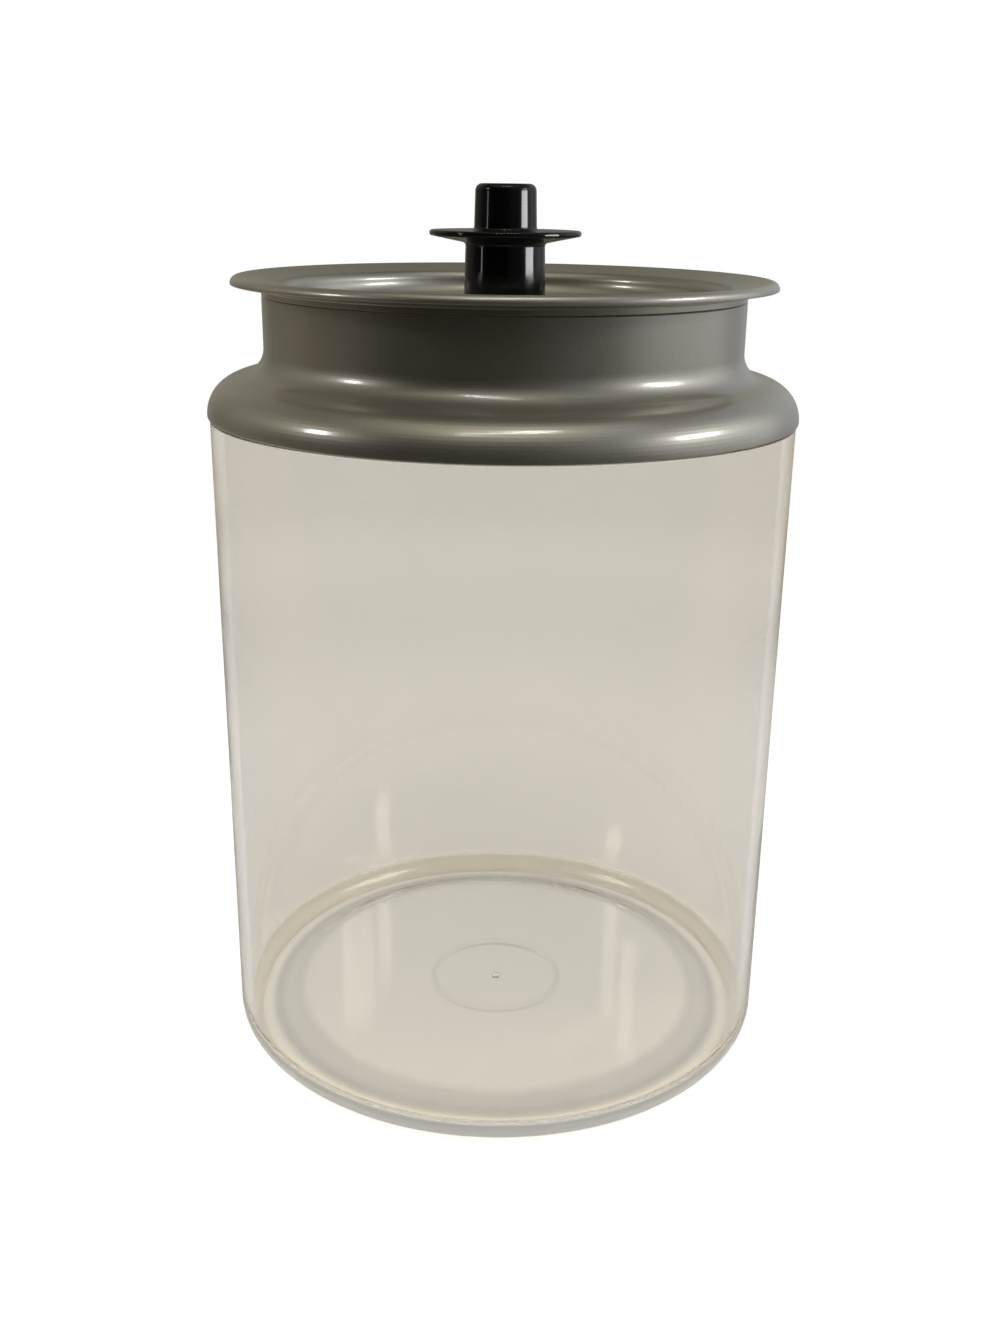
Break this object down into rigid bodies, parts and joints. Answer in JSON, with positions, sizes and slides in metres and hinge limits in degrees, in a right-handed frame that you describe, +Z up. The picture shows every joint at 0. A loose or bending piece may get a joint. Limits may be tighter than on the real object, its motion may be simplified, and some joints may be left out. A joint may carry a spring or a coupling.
{
  "type": "food canister",
  "caption": "Straight clear acrylic food canister with a grey shouldered collar and a drop-in pan lid, lifted by a black knob with a finger flange.",
  "frame": {"origin": "centre of the ring that the canister stands on", "axes": "+Z up along the canister's axis, towards the knob"},
  "size_m": [0.2016, 0.2016, 0.303],
  "materials": {
    "clear_acrylic": "clear with a faint warm grey tint, polished",
    "pewter_plastic": "warm pewter grey with a metallic sheen, glossy",
    "black_plastic": "black, high gloss",
    "silicone": "translucent white, matte",
    "brass": "bare, turned",
    "steel": "bare stainless"
  },
  "bodies": {
    "canister": {"canister_body": "clear_acrylic"},
    "collar": {"collar": "pewter_plastic", "collar_gasket": "silicone"},
    "lid": {"lid_pan": "pewter_plastic", "lid_gasket": "silicone", "knob": "black_plastic", "knob_insert": "brass", "seal_washer": "silicone", "screw_washer": "steel", "knob_screw": "steel"}
  },
  "joints": [
    {"name": "collar_lift", "type": "slide", "parent": "canister", "child": "collar", "axis": [0, 0, 1], "range_m": [0, 0.05]},
    {"name": "lid_lift", "type": "slide", "parent": "collar", "child": "lid", "axis": [0, 0, 1], "range_m": [0, 0.06]}
  ]
}
